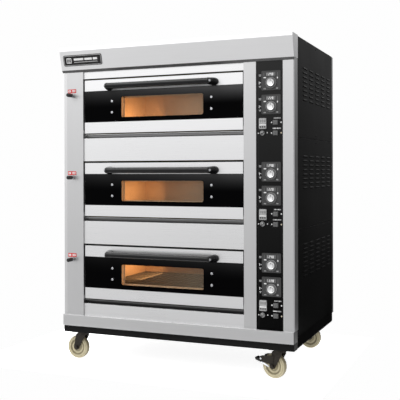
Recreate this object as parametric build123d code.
from build123d import *
import os
from math import sin, cos, radians, atan2, degrees

# Three-deck electric deck oven on swivel casters.
# Row frame: +Z up, the doors face -Y, +X is the control-panel side.
# The origin is on the floor, under the middle of the bounding box.
# All lengths are millimetres.

# ---------------------------------------------------------------- driving dimensions
W = 1250.0            # width of the black body
CROWN_W = 1260.0      # width of the crown
POST_W = 1256.0       # width over the outer posts
R_REAR = 831.0        # rear of the oven, measured back from the post faces
R_SIDE = 790.0        # rear edge of the side casings
R_STEEL = 58.0        # depth of the steel front frame
HANDLE_OUT = 58.0     # how far the handles stand out from the post faces
YF = -(R_REAR - HANDLE_OUT) / 2   # plane of the post faces

Z_FRAME0, Z_FRAME1 = 145.0, 180.0     # base frame
Z_RAIL1 = 237.0                       # top of the base rail
Z_CROWN0, Z_CROWN1 = 1518.0, 1630.0   # crown
Z_ROOF = 1628.0                       # top of the casings

DECKS = {"lower": 326.0, "middle": 756.0, "upper": 1186.0}   # bottom edge of each door
DOOR_H = 275.6
DOOR_X0, DOOR_X1 = -501.5, 372.5
CX = (DOOR_X0 + DOOR_X1) / 2
BAY_X0, BAY_X1 = -507.5, 378.5        # between the left and the middle post
DOOR_R0, DOOR_R1 = 7.0, 43.0          # front and back of a door
BAND_Z0, BAND_Z1 = 56.6, 219.1        # black glass band on a door
WIN_W, WIN_H, WIN_R = 456.0, 104.5, 10.0
WIN_X, WIN_Z = -61.0, 131.8
HINGE_R, HINGE_Z, HINGE_PIN = 12.0, 8.0, 3.0

BAR_R, BAR_OUT, BAR_Z = 15.0, -42.0, 237.0
GRIP_END_R = 16.0

LINER_X0, LINER_X1 = -494.5, 365.5    # inside of a chamber
LINER_R0, LINER_R1 = 48.0, 700.0
LINER_Z0, LINER_Z1 = 14.0, 277.0
SHEET = 1.5
MOUTH_X0, MOUTH_X1, MOUTH_Z0, MOUTH_Z1 = -484.5, 355.5, 50.0, 250.0
HEARTH_Z0, HEARTH_Z1 = 54.0, 58.0

ROD_X, ROD_Z, ROD_R = -575.0, 200.0, 5.0

PANEL_X0, PANEL_X1 = 441.0, 572.7
PANEL_R0, PANEL_R1 = 2.0, 4.5
DIAL_X, DIAL_Z = 516.0, (217.0, 104.5)
BEZEL_W, BEZEL_H = 94.0, 92.0
TIMER_X, TIMER_Z, TIMER_W, TIMER_H = 474.3, 25.5, 38.6, 53.5
BUTTON_X, BUTTON_Z, BUTTON_W, BUTTON_H = 536.5, (29.5, -20.0), 24.8, 22.8
SELECT_X, SELECT_Z, SELECT_R = 472.5, -19.5, 12.0
SHAFT_R = 4.0

WHEEL_R, WHEEL_W, TRAIL, AXLE_R = 60.0, 32.0, 26.0, 6.0
CASTERS = {"front_left": (-540.0, 48.0, 0.0), "front_right": (540.0, 48.0, -12.0),
           "rear_left": (-540.0, 732.0, 0.0), "rear_right": (540.0, 732.0, 0.0)}

os.makedirs("parts", exist_ok=True)


# ---------------------------------------------------------------- helpers
def box(x0, x1, r0, r1, z0, z1):
    """Box between absolute X and Z, and depth r counted back from the post faces."""
    return Pos((x0 + x1) / 2, YF + (r0 + r1) / 2, (z0 + z1) / 2) * Box(abs(x1 - x0), abs(r1 - r0), abs(z1 - z0))


def cyl_y(x, z, radius, r0, r1):
    return Pos(x, YF + (r0 + r1) / 2, z) * Rot(90, 0, 0) * Cylinder(radius, abs(r1 - r0))


def cyl_x(r, z, radius, x0, x1):
    return Pos((x0 + x1) / 2, YF + r, z) * Rot(0, 90, 0) * Cylinder(radius, abs(x1 - x0))


def prism_x(points_rz, x0, x1):
    """Polygon given as (r, z) pairs, drawn along X from x0 to x1."""
    pts = [(x0, YF + r, z) for r, z in points_rz]
    face = make_face(Polyline(*pts, close=True))
    return extrude(face, amount=x1 - x0, dir=(1, 0, 0))


def prism_z(points_xr, z0, z1):
    pts = [(x, YF + r, z0) for x, r in points_xr]
    face = make_face(Polyline(*pts, close=True))
    return extrude(face, amount=z1 - z0, dir=(0, 0, 1))


def rounded_plate(xc, zc, w, h, radius, r0, r1):
    """Rounded rectangle in the XZ plane, from depth r0 back to r1."""
    plane = Plane(origin=(xc, YF + r0, zc), x_dir=(1, 0, 0), z_dir=(0, -1, 0))
    return extrude(plane * RectangleRounded(w, h, radius), amount=-(r1 - r0))


def solids_of(*shapes):
    out = []
    for s in shapes:
        out.extend(s.solids())
    return out


def save(name, *shapes):
    parts = solids_of(*shapes)
    shape = parts[0] if len(parts) == 1 else Compound(children=[p for p in parts])
    export_step(shape, "parts/" + name + ".step")


# ---------------------------------------------------------------- base frame
def channel_box(x0, x1, r0, r1, z0, z1, t, open_side):
    """Folded channel: a box shell with one open side."""
    a = dict(x0=x0 + t, x1=x1 - t, r0=r0 + t, r1=r1 - t, z0=z0 + t, z1=z1 - t)
    if open_side == "rear":
        a["r1"] = r1 + 1
    elif open_side == "front":
        a["r0"] = r0 - 1
    elif open_side == "left":
        a["x0"] = x0 - 1
    elif open_side == "right":
        a["x1"] = x1 + 1
    elif open_side == "top":
        a["z1"] = z1 + 1
    return box(x0, x1, r0, r1, z0, z1) - box(a["x0"], a["x1"], a["r0"], a["r1"], a["z0"], a["z1"])


hw = W / 2
frame_front = channel_box(-hw, hw, 0, R_STEEL, Z_FRAME0, Z_FRAME1, 3, "rear")
frame_left = channel_box(-622.9, -560, R_STEEL, R_SIDE, Z_FRAME0, Z_FRAME1, 3, "right")
frame_right = channel_box(560, 622.9, R_STEEL, R_SIDE, Z_FRAME0, Z_FRAME1, 3, "left")
frame_rear = channel_box(-560, 560, R_SIDE - 60, R_SIDE, Z_FRAME0, Z_FRAME1, 3, "front")
frame_mid = channel_box(-560, 560, 380, 430, Z_FRAME0 + 2.5, Z_FRAME1, 3, "rear")
frame_pan = box(-560, 560, R_STEEL, R_SIDE - 60, Z_FRAME0, Z_FRAME0 + 2.5)
save("base_frame", frame_front, frame_left, frame_right, frame_rear, frame_mid, frame_pan)

# ---------------------------------------------------------------- base rail
rail = channel_box(-hw, hw, -10, R_STEEL, Z_FRAME1, Z_RAIL1, 2, "rear")
rail = fillet(rail.edges().filter_by(Axis.X).group_by(Axis.Y)[0], 1.5)
save("base_rail", rail)

# ---------------------------------------------------------------- front posts
ph = POST_W / 2
post_t = 2.0
left_outer = [(-ph, R_STEEL), (-ph, 9), (-ph + 22, 0), (BAY_X0, 0), (BAY_X0, R_STEEL)]
left_inner = [(-ph + post_t, R_STEEL + 1), (-ph + post_t, 10.4), (-ph + 22.4, post_t), (BAY_X0 - post_t, post_t),
              (BAY_X0 - post_t, R_STEEL + 1)]
post_left = prism_z(left_outer, Z_RAIL1, Z_CROWN0) - prism_z(left_inner, Z_RAIL1 - 1, Z_CROWN0 + 1)
right_outer = [(ph, R_STEEL), (ph, 2.5), (ph - 5, 0), (573, 0), (573, R_STEEL)]
right_inner = [(ph - post_t, R_STEEL + 1), (ph - post_t, 3.4), (ph - 5.8, post_t), (573 + post_t, post_t),
               (573 + post_t, R_STEEL + 1)]
post_right = prism_z(right_outer, Z_RAIL1, Z_CROWN0) - prism_z(right_inner, Z_RAIL1 - 1, Z_CROWN0 + 1)
post_mid = prism_z([(BAY_X1, R_STEEL), (BAY_X1, 0), (440.7, 0), (440.7, R_STEEL)], Z_RAIL1, Z_CROWN0) \
    - prism_z([(BAY_X1 + post_t, R_STEEL + 1), (BAY_X1 + post_t, post_t), (440.7 - post_t, post_t),
               (440.7 - post_t, R_STEEL + 1)], Z_RAIL1 - 1, Z_CROWN0 + 1)
# each damper rod runs through its own hole in the left post
for db in DECKS.values():
    post_left -= cyl_y(ROD_X, db + ROD_Z, ROD_R + 0.06, -2, 6)
save("front_posts", post_left, post_mid, post_right)

# ---------------------------------------------------------------- crown
CR_LOW, CR_HIGH, CR_LIP = -10.0, -35.0, 1614.0
cw = CROWN_W / 2
crown = prism_x([(CR_LOW, Z_CROWN0), (CR_HIGH, CR_LIP), (CR_HIGH, Z_CROWN1), (R_STEEL, Z_CROWN1), (R_STEEL, Z_CROWN0)],
                -cw, cw)
crown -= prism_x([(CR_LOW + 1.6, Z_CROWN0 + 2), (CR_HIGH + 2, CR_LIP + 0.3), (CR_HIGH + 2, Z_CROWN1 - 2),
                  (R_STEEL + 1, Z_CROWN1 - 2), (R_STEEL + 1, Z_CROWN0 + 2)], -cw + 2, cw - 2)
# sloping hem under the front edge, clear of the posts
crown += prism_x([(CR_LOW, Z_CROWN0), (CR_LOW + 2.2, Z_CROWN0 + 0.5), (-0.6, Z_CROWN0 - 9.5), (-0.6, Z_CROWN0 - 12)], -cw, cw)
save("crown", crown)

# ---------------------------------------------------------------- name plate and damper labels
slope = atan2(CR_LOW - CR_HIGH, CR_LIP - Z_CROWN0)
zb = 1566.0
rb = CR_LOW + (CR_HIGH - CR_LOW) * (zb - Z_CROWN0) / (CR_LIP - Z_CROWN0)
badge_plane = Plane(origin=(-497, YF + rb, zb), x_dir=(1, 0, 0), z_dir=(0, -cos(slope), -sin(slope)))
badge = extrude(badge_plane * RectangleRounded(228, 57, 9), amount=1.8)
labels = [rounded_plate(ROD_X, db + 223, 50, 20, 3, -0.9, 0) for db in DECKS.values()]
save("name_plates", badge, *labels)

# ---------------------------------------------------------------- casings
SEAM = (709.0, 1148.5)
side_spans = [(149.0, SEAM[0] - 0.8), (SEAM[0] + 0.8, SEAM[1] - 0.8), (SEAM[1] + 0.8, Z_ROOF)]
side_parts = []
for sx in (-1, 1):
    for (z0, z1), db in zip(side_spans, DECKS.values()):
        x0, x1 = (hw - 2, hw) if sx > 0 else (-hw, -hw + 2)
        panel = box(x0, x1, R_STEEL + 0.3, R_SIDE, z0, z1)
        slots = []
        for col in range(5):
            rc = 208 + 124 * col
            for row in range(8):
                zc = db + 146 + 22 * row
                slots.append(box(x0 - 1, x1 + 1, rc - 42, rc + 42, zc - 2.5, zc + 2.5))
        panel -= slots
        side_parts.append(panel)
save("side_panels", *side_parts)

rear = channel_box(-622, 622, R_SIDE, R_REAR, 190, Z_ROOF, 1.5, "front")
GLAND_X, GLAND_Z, GLAND_R = 500.0, 262.0, 11.0
rear -= cyl_y(GLAND_X, GLAND_Z, 16.1, R_REAR - 4, R_REAR + 2)
gland = cyl_y(GLAND_X, GLAND_Z, 16.0, R_REAR - 26, R_REAR) + cyl_y(GLAND_X, GLAND_Z, 22.0, R_REAR - 8, R_REAR - 1.7)
gland -= cyl_y(GLAND_X, GLAND_Z, GLAND_R, R_REAR - 40, R_REAR + 5)
save("rear_panel", rear, gland)

FLUE_X, FLUE_R, FLUE_BORE = -560.0, 280.0, 36.0
top = box(-622.9, 622.9, R_STEEL + 0.2, R_SIDE - 0.1, Z_ROOF - 2, Z_ROOF)
top -= Pos(FLUE_X, YF + FLUE_R, Z_ROOF) * Cylinder(FLUE_BORE + 1.6, 20)
save("top_cover", top)

# ---------------------------------------------------------------- fascia panels with folded sills
fx0, fx1 = BAY_X0 + 0.1, BAY_X1 - 0.1
fascia = []
deck_list = list(DECKS.values())
for i, db in enumerate(deck_list):
    z_low = Z_RAIL1 + 0.2 if i == 0 else deck_list[i - 1] + DOOR_H + 9.5
    z_up = db - 26.5
    front = box(fx0, fx1, 7, 8.5, z_low, z_up)
    shelf = box(fx0, fx1, 7, 33.5, z_up - 1.5, z_up)
    riser = box(fx0, fx1, 32, 33.5, z_up - 1.5, db - 5)
    foot = box(fx0, fx1, 7, 24, z_low, z_low + 1.5)
    lip = box(fx0, fx1, 12, 33.5, db - 10.5, db - 5)
    lip = fillet(lip.edges().filter_by(Axis.X).group_by(Axis.Y)[0], 2.6)
    fascia.append(front + shelf + riser + foot + lip)
z_low = deck_list[2] + DOOR_H + 8.0
fascia.append(box(fx0, fx1, 7, 8.5, z_low, Z_CROWN0 - 0.2) + box(fx0, fx1, 7, 30, z_low, z_low + 1.5))
save("fascia_panels", *fascia)

# ---------------------------------------------------------------- chambers
liner_parts, hearths, elements, lamps, gaskets, hinge_parts = [], [], [], [], [], []
ELEMENT_R = 4.0
HAIRPINS = [(150.0, 210.0), (340.0, 400.0), (530.0, 590.0)]   # depth of the two legs of each element
for db in deck_list:
    z0, z1 = db + LINER_Z0, db + LINER_Z1
    # front flange, in four bars round the mouth
    liner_parts += [
        box(BAY_X0 + 0.1, MOUTH_X0, 46, LINER_R0, db + 2, db + 283),
        box(MOUTH_X1, BAY_X1 - 0.1, 46, LINER_R0, db + 2, db + 283),
        box(MOUTH_X0, MOUTH_X1, 46, LINER_R0, db + 2, db + MOUTH_Z0),
        box(MOUTH_X0, MOUTH_X1, 46, LINER_R0, db + MOUTH_Z1, db + 283)]
    left = box(LINER_X0 - SHEET, LINER_X0, LINER_R0, LINER_R1, z0, z1)
    left -= box(LINER_X0 - 3, LINER_X0 + 3, 120, 220, db + 180, db + 220)      # steam port
    right = box(LINER_X1, LINER_X1 + SHEET, LINER_R0, LINER_R1, z0, z1)
    for legs in HAIRPINS:
        for r in legs:
            for ze in (db + 32, db + 265):
                right -= cyl_x(r, ze, ELEMENT_R + 0.3, LINER_X1 - 2, LINER_X1 + SHEET + 2)
    ceiling = box(LINER_X0, LINER_X1, LINER_R0, LINER_R1, z1 - SHEET, z1)
    floor = box(LINER_X0, LINER_X1, LINER_R0, LINER_R1, z0, z0 + SHEET)
    back = box(LINER_X0 - SHEET, LINER_X1 + SHEET, LINER_R1, LINER_R1 + SHEET, z0, z1)
    ledge_l = box(LINER_X0, LINER_X0 + 18, 56, 694, db + 50, db + HEARTH_Z0)
    ledge_r = box(LINER_X1 - 18, LINER_X1, 56, 694, db + 50, db + HEARTH_Z0)
    liner_parts += [left, right, ceiling, floor, back, ledge_l, ledge_r]

    # hearth plate with slots that run front to back
    hearth = box(LINER_X0 + 1, LINER_X1 - 1, 50, 694, db + HEARTH_Z0, db + HEARTH_Z1)
    cuts = [box(x - 6, x + 6, 100, 650, db + 40, db + 70) for x in
            [CX + 36 * k for k in range(-11, 12)]]
    hearths.append(hearth - cuts)

    # hairpin heating elements, over and under the hearth
    for ra, rc in HAIRPINS:
        for ze in (db + 32, db + 265):
            xe, xt = LINER_X0 + 45, LINER_X1 + 18
            mid = (ra + rc) / 2
            rad = (rc - ra) / 2
            l1 = Line((xt, YF + ra, ze), (xe, YF + ra, ze))
            arc = ThreePointArc((xe, YF + ra, ze), (xe - rad, YF + mid, ze), (xe, YF + rc, ze))
            l2 = Line((xe, YF + rc, ze), (xt, YF + rc, ze))
            path = Wire([l1, arc, l2])
            section = Plane(origin=(xt, YF + ra, ze), z_dir=(-1, 0, 0)) * Circle(ELEMENT_R)
            elements.append(sweep(section, path=path))

    # lamp on the back wall
    lamp = cyl_y(250, db + 222, 24, 690, 700)
    lamps.append(fillet(lamp.edges().group_by(Axis.Y)[0], 4))

    # gasket round the mouth, in four strips
    gx0, gx1, gz0, gz1 = MOUTH_X0 - 16, MOUTH_X1 + 16, MOUTH_Z0 - 16, MOUTH_Z1 + 16
    gaskets += [
        box(gx0, gx1, 43.4, 46, db + gz0, db + gz0 + 12),
        box(gx0, gx1, 43.4, 46, db + gz1 - 12, db + gz1),
        box(gx0, gx0 + 12, 43.4, 46, db + gz0 + 12, db + gz1 - 12),
        box(gx1 - 12, gx1, 43.4, 46, db + gz0 + 12, db + gz1 - 12)]

    # hinge brackets in the gaps beside the door, each with its pin
    for x_plate, x_pin in (((BAY_X0 + 0.1, BAY_X0 + 3.1), (BAY_X0 + 3.1, DOOR_X0 + 9)),
                           ((BAY_X1 - 3.1, BAY_X1 - 0.1), (DOOR_X1 - 9, BAY_X1 - 3.1))):
        plate = box(x_plate[0], x_plate[1], 5, 45.8, db - 3, db + 18)
        pin = cyl_x(HINGE_R, db + HINGE_Z, HINGE_PIN, x_pin[0], x_pin[1])
        hinge_parts.append(plate + pin)
save("chamber_liners", *liner_parts)
save("hearth_plates", *hearths)
save("heating_elements", *elements)
save("chamber_lamps", *lamps)
save("door_gaskets", *gaskets)
save("hinge_brackets", *hinge_parts)

# ---------------------------------------------------------------- steam boxes, riser duct and flue collar
BOX_X0, BOX_X1, BOX_R0, BOX_R1, BOX_Z0, BOX_Z1 = -605.0, LINER_X0 - SHEET, 100.0, 240.0, 165.0, 235.0
RISER_X0, RISER_X1, RISER_R0, RISER_R1 = -602.0, -518.0, 240.0, 320.0
RISER_Z0, RISER_Z1 = 470.0, 1600.0
duct_out = box(RISER_X0, RISER_X1, RISER_R0, RISER_R1, RISER_Z0, RISER_Z1)
duct_in = box(RISER_X0 + SHEET, RISER_X1 - SHEET, RISER_R0 + SHEET, RISER_R1 - SHEET, RISER_Z0 + SHEET, RISER_Z1 - SHEET)
for db in deck_list:
    duct_out += box(BOX_X0, BOX_X1, BOX_R0, BOX_R1, db + BOX_Z0, db + BOX_Z1)
for db in deck_list:
    duct_in += box(BOX_X0 + SHEET, BOX_X1 - SHEET, BOX_R0 + SHEET, BOX_R1 - SHEET, db + BOX_Z0 + SHEET, db + BOX_Z1 - SHEET)
    duct_in += box(RISER_X0 + 6, RISER_X1 - 6, BOX_R1 - 4, BOX_R1 + 6, db + BOX_Z0 + 6, db + BOX_Z1 - 6)
    duct_in += box(BOX_X1 - 4, BOX_X1 + 2, 120, 220, db + 180, db + 220)
    duct_in += cyl_y(ROD_X, db + ROD_Z, ROD_R + 0.06, BOX_R0 - 2, BOX_R0 + 4)
collar = Pos(FLUE_X, YF + FLUE_R, (RISER_Z1 + Z_ROOF) / 2) * Cylinder(FLUE_BORE + 1.5, Z_ROOF - RISER_Z1)
bore = Pos(FLUE_X, YF + FLUE_R, (RISER_Z1 - 3 + Z_ROOF + 2) / 2) * Cylinder(FLUE_BORE, Z_ROOF - RISER_Z1 + 5)
duct = duct_out + collar - duct_in - bore
save("flue_duct", duct)

# ---------------------------------------------------------------- insulation
slab_left = box(-562, LINER_X0 - SHEET - 0.5, 60, 760, 240, 1560)
slab_left -= box(RISER_X0 - 1, RISER_X1 + 1, RISER_R0 - 1, RISER_R1 + 1, RISER_Z0 - 1, 1600)
for db in deck_list:
    slab_left -= box(BOX_X0, BOX_X1 + 2, BOX_R0 - 1, BOX_R1 + 1, db + BOX_Z0 - 1, db + BOX_Z1 + 1)
slab_right = box(LINER_X1 + 20, LINER_X1 + 72, 60, 760, 240, 1560)
slab_back = box(LINER_X0 - SHEET, LINER_X1 + 19, LINER_R1 + SHEET + 0.5, 760, 240, 1560)
spans = []
for db in deck_list:
    spans += [(db + LINER_Z0 - 40.5, db + LINER_Z0 - 0.5), (db + LINER_Z1 + 0.5, db + LINER_Z1 + 60.5)]
slabs = [box(LINER_X0 - SHEET, LINER_X1 + SHEET, 60, LINER_R1, a, b) for a, b in spans]
save("insulation", slab_left, slab_right, slab_back, *slabs)

# ---------------------------------------------------------------- control panel
panel = box(PANEL_X0, PANEL_X1, PANEL_R0, PANEL_R1, Z_RAIL1 + 0.2, Z_CROWN0 - 0.2)
instruments, gear = [], []
for db in deck_list:
    for kz in DIAL_Z:
        z = db + kz
        panel -= cyl_y(DIAL_X, z, SHAFT_R + 0.06, 0, 8)
        bezel = rounded_plate(DIAL_X - 0.5, z + 11, BEZEL_W, BEZEL_H, 5, -1, PANEL_R0)
        window = rounded_plate(DIAL_X - 0.5, z + 40, 44, 17, 2, -2.2, -1)
        bezel = bezel + window - cyl_y(DIAL_X, z, SHAFT_R + 0.06, -6, 4)
        instruments.append(bezel)
        body = box(DIAL_X - 26, DIAL_X + 26, 6, 58, z - 22, z + 26) - cyl_y(DIAL_X, z, SHAFT_R + 0.06, 2, 18)
        gear.append(body)
    timer = rounded_plate(TIMER_X, db + TIMER_Z, TIMER_W, TIMER_H, 5, -2.5, PANEL_R0)
    timer += rounded_plate(TIMER_X, db + TIMER_Z + 13, 31, 22, 2, -3.5, -2.5)
    instruments.append(timer)
    gear.append(box(TIMER_X - 17, TIMER_X + 15, 6, 50, db + TIMER_Z - 20, db + TIMER_Z + 20))
    for bz in BUTTON_Z:
        panel -= box(BUTTON_X - BUTTON_W / 2 - 0.3, BUTTON_X + BUTTON_W / 2 + 0.3, 0, 8,
                     db + bz - BUTTON_H / 2 - 0.3, db + bz + BUTTON_H / 2 + 0.3)
        gear.append(box(BUTTON_X - 14, BUTTON_X + 14, 19, 44, db + bz - 12, db + bz + 12))
    panel -= cyl_y(SELECT_X, db + SELECT_Z, SHAFT_R + 0.06, 0, 8)
    gear.append(box(SELECT_X - 15, SELECT_X + 15, 6, 40, db + SELECT_Z - 14, db + SELECT_Z + 14)
                - cyl_y(SELECT_X, db + SELECT_Z, SHAFT_R + 0.06, 2, 18))
    # contactor and its rail, on the mounting plate
    gear.append(box(452, 530, 250, 305, db + 60, db + 145))
    gear.append(box(452, 500, 340, 400, db + 70, db + 140))
save("control_panel", panel)
save("panel_instruments", *instruments)

gear.append(box(448, 452, 130, 560, 260, 1500))                     # mounting plate
gear.append(box(452, 486, 640 - 220, 640, 330, 372))                # terminal block, clear of the plate's edge
save("electrical_gear", *gear)

# ---------------------------------------------------------------- doors
# right-hand end bracket of a handle at Z 0; the left one is its mirror image about the door's middle
bar = cyl_x(BAR_OUT, 0, BAR_R, CX - 279, CX + 279)
GRIP_X = 277.0
stations = [(DOOR_R0, 289.0, 24.0, 20.0), (-4.0, 288.0, 23.0, 19.5), (-22.0, 283.0, 19.5, 17.8),
            (BAR_OUT, GRIP_X, GRIP_END_R, GRIP_END_R - 0.01)]
grip = loft([Plane(origin=(CX + x, YF + r, 0), x_dir=(1, 0, 0), z_dir=(0, -1, 0)) * Ellipse(a, b) for r, x, a, b in stations])
grip = grip + Pos(CX + GRIP_X, YF + BAR_OUT, 0) * Sphere(GRIP_END_R)
grip = max((grip - bar).solids(), key=lambda q: q.volume)
out = Vector(sin(radians(48)), -cos(radians(48)), 0)
seat = Plane(origin=Vector(CX + GRIP_X, YF + BAR_OUT, 0) + out * 15.6, z_dir=out)
cap = seat * Cylinder(5.6, 3.0)
cap = max((cap - bar).solids(), key=lambda q: q.volume)
grip = max((grip - seat * Cylinder(5.6, 6.0)).solids(), key=lambda q: q.volume)
mid_plane = Plane(origin=(CX, 0, 0), z_dir=(1, 0, 0))
handle_pieces = [bar, grip, cap, mirror(grip, about=mid_plane), mirror(cap, about=mid_plane)]

for deck, db in DECKS.items():
    dz0, dz1 = db, db + DOOR_H
    # tray: folded front skin, set back behind the glass band
    outer = box(DOOR_X0, DOOR_X1, DOOR_R0, 41, dz0, dz1) - box(DOOR_X0 - 1, DOOR_X1 + 1, DOOR_R0 - 1, 12, db + BAND_Z0, db + BAND_Z1)
    inner = box(DOOR_X0 + SHEET, DOOR_X1 - SHEET, 13.5, 42, dz0 + SHEET, dz1 - SHEET)
    inner += box(DOOR_X0 + SHEET, DOOR_X1 - SHEET, DOOR_R0 + SHEET, 42, dz0 + SHEET, db + BAND_Z0 - SHEET)
    inner += box(DOOR_X0 + SHEET, DOOR_X1 - SHEET, DOOR_R0 + SHEET, 42, db + BAND_Z1 + SHEET, dz1 - SHEET)
    tray = outer - inner
    tray -= rounded_plate(WIN_X, db + WIN_Z, WIN_W + 8, WIN_H + 8, WIN_R, 8, 16)
    for x0, x1 in ((DOOR_X0 - 1, DOOR_X0 + 4), (DOOR_X1 - 4, DOOR_X1 + 1)):
        tray -= cyl_x(HINGE_R, db + HINGE_Z, HINGE_PIN + 0.05, x0, x1)
    # back plate with the window collar
    back = box(DOOR_X0, DOOR_X1, 41, DOOR_R1, dz0, dz1)
    back += box(WIN_X - 232, WIN_X + 232, 17.8, 41, db + WIN_Z - 57, db + WIN_Z + 57)
    back -= box(WIN_X - 230, WIN_X + 230, 17, 41, db + WIN_Z - 55, db + WIN_Z + 55)
    back -= box(WIN_X - 224, WIN_X + 224, 40, 45, db + WIN_Z - 49, db + WIN_Z + 49)
    # four cap screws hold the glass band
    screws, shanks = [], []
    for sx in (-275, 275):
        for sz in (163.0, 105.7):
            head = cyl_y(CX + sx, db + sz, 6.5, 4.0, DOOR_R0)
            head = fillet(head.edges().group_by(Axis.Y)[0], 1.8)
            screws.append(head + cyl_y(CX + sx, db + sz, 3.0, DOOR_R0, 16))
            shanks.append(cyl_y(CX + sx, db + sz, 3.0, 4, 18))
    tray -= shanks
    save("door_frame_" + deck, tray, back, *screws)

    glass = box(DOOR_X0, DOOR_X1, DOOR_R0, 11.9, db + BAND_Z0 + 0.2, db + BAND_Z1 - 0.2)
    glass -= rounded_plate(WIN_X, db + WIN_Z, WIN_W, WIN_H, WIN_R, 5, 14)
    glass -= shanks
    save("door_glass_" + deck, glass)

    pane_out = rounded_plate(WIN_X, db + WIN_Z, 484, 130, 6, 13.6, 17.6)
    pane_in = box(WIN_X - 229.5, WIN_X + 229.5, 36.5, 40.9, db + WIN_Z - 54.5, db + WIN_Z + 54.5)
    save("window_pane_" + deck, pane_out, pane_in)

    # handle: round bar in two swept end brackets, each with its screw
    zc = db + BAR_Z
    save("handle_" + deck, *[Pos(0, 0, zc) * p for p in handle_pieces])

    # damper rod: knob, rod and blade
    z = db + ROD_Z
    knob = cyl_y(ROD_X, z, 10, -44, -10)
    knob = fillet(knob.edges().group_by(Axis.Y)[0], 4)
    rod = cyl_y(ROD_X, z, ROD_R, -12, 170)
    blade = box(ROD_X - 24, ROD_X + 60, 166, 168, z - 30, z + 30)
    save("damper_rod_" + deck, knob + rod + blade)

    # dial knobs
    for name, kz in zip(("top", "bottom"), DIAL_Z):
        z = db + kz
        skirt = cyl_y(DIAL_X, z, 26, -6.5, -2.6)
        skirt = fillet(skirt.edges().group_by(Axis.Y)[0], 1.5)
        grip = cyl_y(DIAL_X, z, 17, -14, -6)
        grip = fillet(grip.edges().group_by(Axis.Y)[0], 1.5)
        ridge = box(DIAL_X - 2.5, DIAL_X + 2.5, -15.5, -10, z - 15, z + 15)
        shaft = cyl_y(DIAL_X, z, SHAFT_R, -4, 16)
        save("dial_knob_" + deck + "_" + name, skirt + grip + ridge + shaft)

    # push-buttons
    for name, bz in zip(("a", "b"), BUTTON_Z):
        z = db + bz
        b = box(BUTTON_X - BUTTON_W / 2, BUTTON_X + BUTTON_W / 2, -4, 15, z - BUTTON_H / 2, z + BUTTON_H / 2)
        b = fillet(b.edges().group_by(Axis.Y)[0], 1.5)
        save("push_button_" + deck + "_" + name, b)

    # round selector
    z = db + SELECT_Z
    cap = cyl_y(SELECT_X, z, SELECT_R, -4, 1.6)
    cap = fillet(cap.edges().group_by(Axis.Y)[0], 1.2)
    grip = Pos(SELECT_X, YF - 7, z) * Rot(0, -45, 0) * Box(21, 8, 6.5)
    save("selector_" + deck, cap + grip + cyl_y(SELECT_X, z, SHAFT_R, 1, 16))

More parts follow.
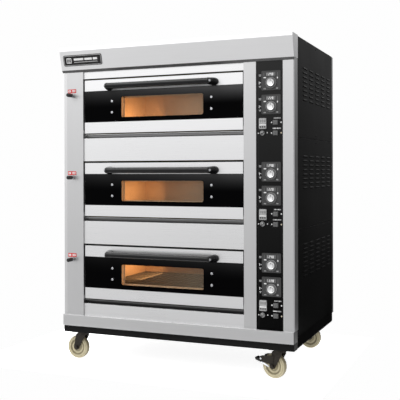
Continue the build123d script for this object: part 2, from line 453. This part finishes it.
# ---------------------------------------------------------------- casters
Z_PLATE0 = 141.0
PEDAL_X, PEDAL_Z = -87.0, 91.0       # brake pivot, from the swivel axis
plates = []
for name, (sx, sr, turn) in CASTERS.items():
    place = Pos(sx, YF + sr, 0) * Rot(0, 0, turn)
    plate = Pos(sx, YF + sr, (Z_PLATE0 + Z_FRAME0) / 2) * Box(90, 76, Z_FRAME0 - Z_PLATE0)
    plate = fillet(plate.edges().filter_by(Axis.Z), 6)
    plate -= Pos(sx, YF + sr, 143) * Cylinder(6.06, 20)
    plates.append(plate)

    # fork: swivel head, crown and two legs; the kingpin turns in the plate
    pin = Pos(0, 0, 136) * Cylinder(6.0, 17.4)
    head = Pos(0, 0, 136) * Cylinder(27, 9.4)
    yoke = Pos(-3, 0, 129.0) * Box(50, 48, 5)
    leg_pts = [(22, 131.4), (-28, 131.4), (-42, 66), (-40, 53), (-27, 45.5), (-15, 51), (14, 104), (22, 118)]
    fork = pin + head + yoke
    for y0 in (-24.0, 20.0):
        leg = extrude(make_face(Polyline(*[(x, y0, z) for x, z in leg_pts], close=True)), amount=4, dir=(0, 1, 0))
        fork += leg
    axle_hole = Pos(-TRAIL, 0, WHEEL_R) * Rot(90, 0, 0) * Cylinder(AXLE_R, 80)
    fork -= axle_hole
    extra = []
    if name == "front_right":
        ear_pts = [(-16, 112), (-80, 106), (-95, 100), (-96, 85), (-80, 75), (-37, 70), (-22, 78)]
        for y0 in (-27.0, 24.0):
            ear = extrude(make_face(Polyline(*[(x, y0, z) for x, z in ear_pts], close=True)), amount=3, dir=(0, 1, 0))
            fork += ear
        fork -= Pos(PEDAL_X, 0, PEDAL_Z) * Rot(90, 0, 0) * Cylinder(4.05, 80)
    axle = Pos(-TRAIL, 0, WHEEL_R) * Rot(90, 0, 0) * Cylinder(AXLE_R, 54)
    for y in (-30.5, 30.5):
        axle += Pos(-TRAIL, y, WHEEL_R) * Rot(90, 0, 0) * extrude(RegularPolygon(9.5, 6), amount=3.5, both=True)
    if name == "front_right":
        fork -= Pos(-TRAIL, 0, WHEEL_R) * Rot(90, 0, 0) * Cylinder(AXLE_R, 80)
    save("caster_fork_" + name, *[place * s for s in solids_of(fork, axle)])

    # wheel: rim, web and hub in one moulding, bored for the axle
    hb = WHEEL_W / 2
    prof = [(6.06, -19), (16, -19), (17, -11), (44, -11), (46, -hb + 1), (49, -hb), (54, -hb + 1), (58.5, -hb + 5), (60, -6),
            (60, 6), (58.5, hb - 5), (54, hb - 1), (49, hb), (46, hb - 1), (44, 11), (17, 11), (16, 19), (6.06, 19)]
    face = make_face(Polyline(*[(x, 0, z) for x, z in prof], close=True))
    wheel = revolve(face, axis=Axis.Z)
    wheel = Pos(-TRAIL, 0, WHEEL_R) * Rot(90, 0, 0) * wheel
    save("caster_wheel_" + name, place * wheel)

    if name == "front_right":
        # brake: pedal, arms and shoe on one cross pin
        px, pz = PEDAL_X, PEDAL_Z
        lever = Pos(px, 0, pz) * Rot(90, 0, 0) * Cylinder(4.0, 58)
        lever += Pos(px, 0, pz) * Rot(90, 0, 0) * Cylinder(7.0, 34)
        arm = extrude(make_face(Polyline((px - 3, -13, pz + 4), (px - 6, -13, pz - 18), (px - 22, -13, pz - 16), (px - 13, -13, pz + 3),
                                         close=True)), amount=26, dir=(0, 1, 0))
        pad = extrude(make_face(Polyline((px - 8, -14, pz - 12), (px - 7, -14, pz - 22), (px - 38, -14, pz - 13), (px - 41, -14, pz - 4),
                                         (px - 37, -14, pz + 0.5), close=True)), amount=28, dir=(0, 1, 0))
        shoe = extrude(make_face(Polyline((px - 6, -12, pz), (px - 1.5, -12, pz - 18), (px - 8, -12, pz - 18), (px - 14, -12, pz + 2),
                                          close=True)), amount=24, dir=(0, 1, 0))
        lever = lever + arm + pad + shoe
        save("brake_pedal_front_right", place * lever)
save("caster_plates", *plates)
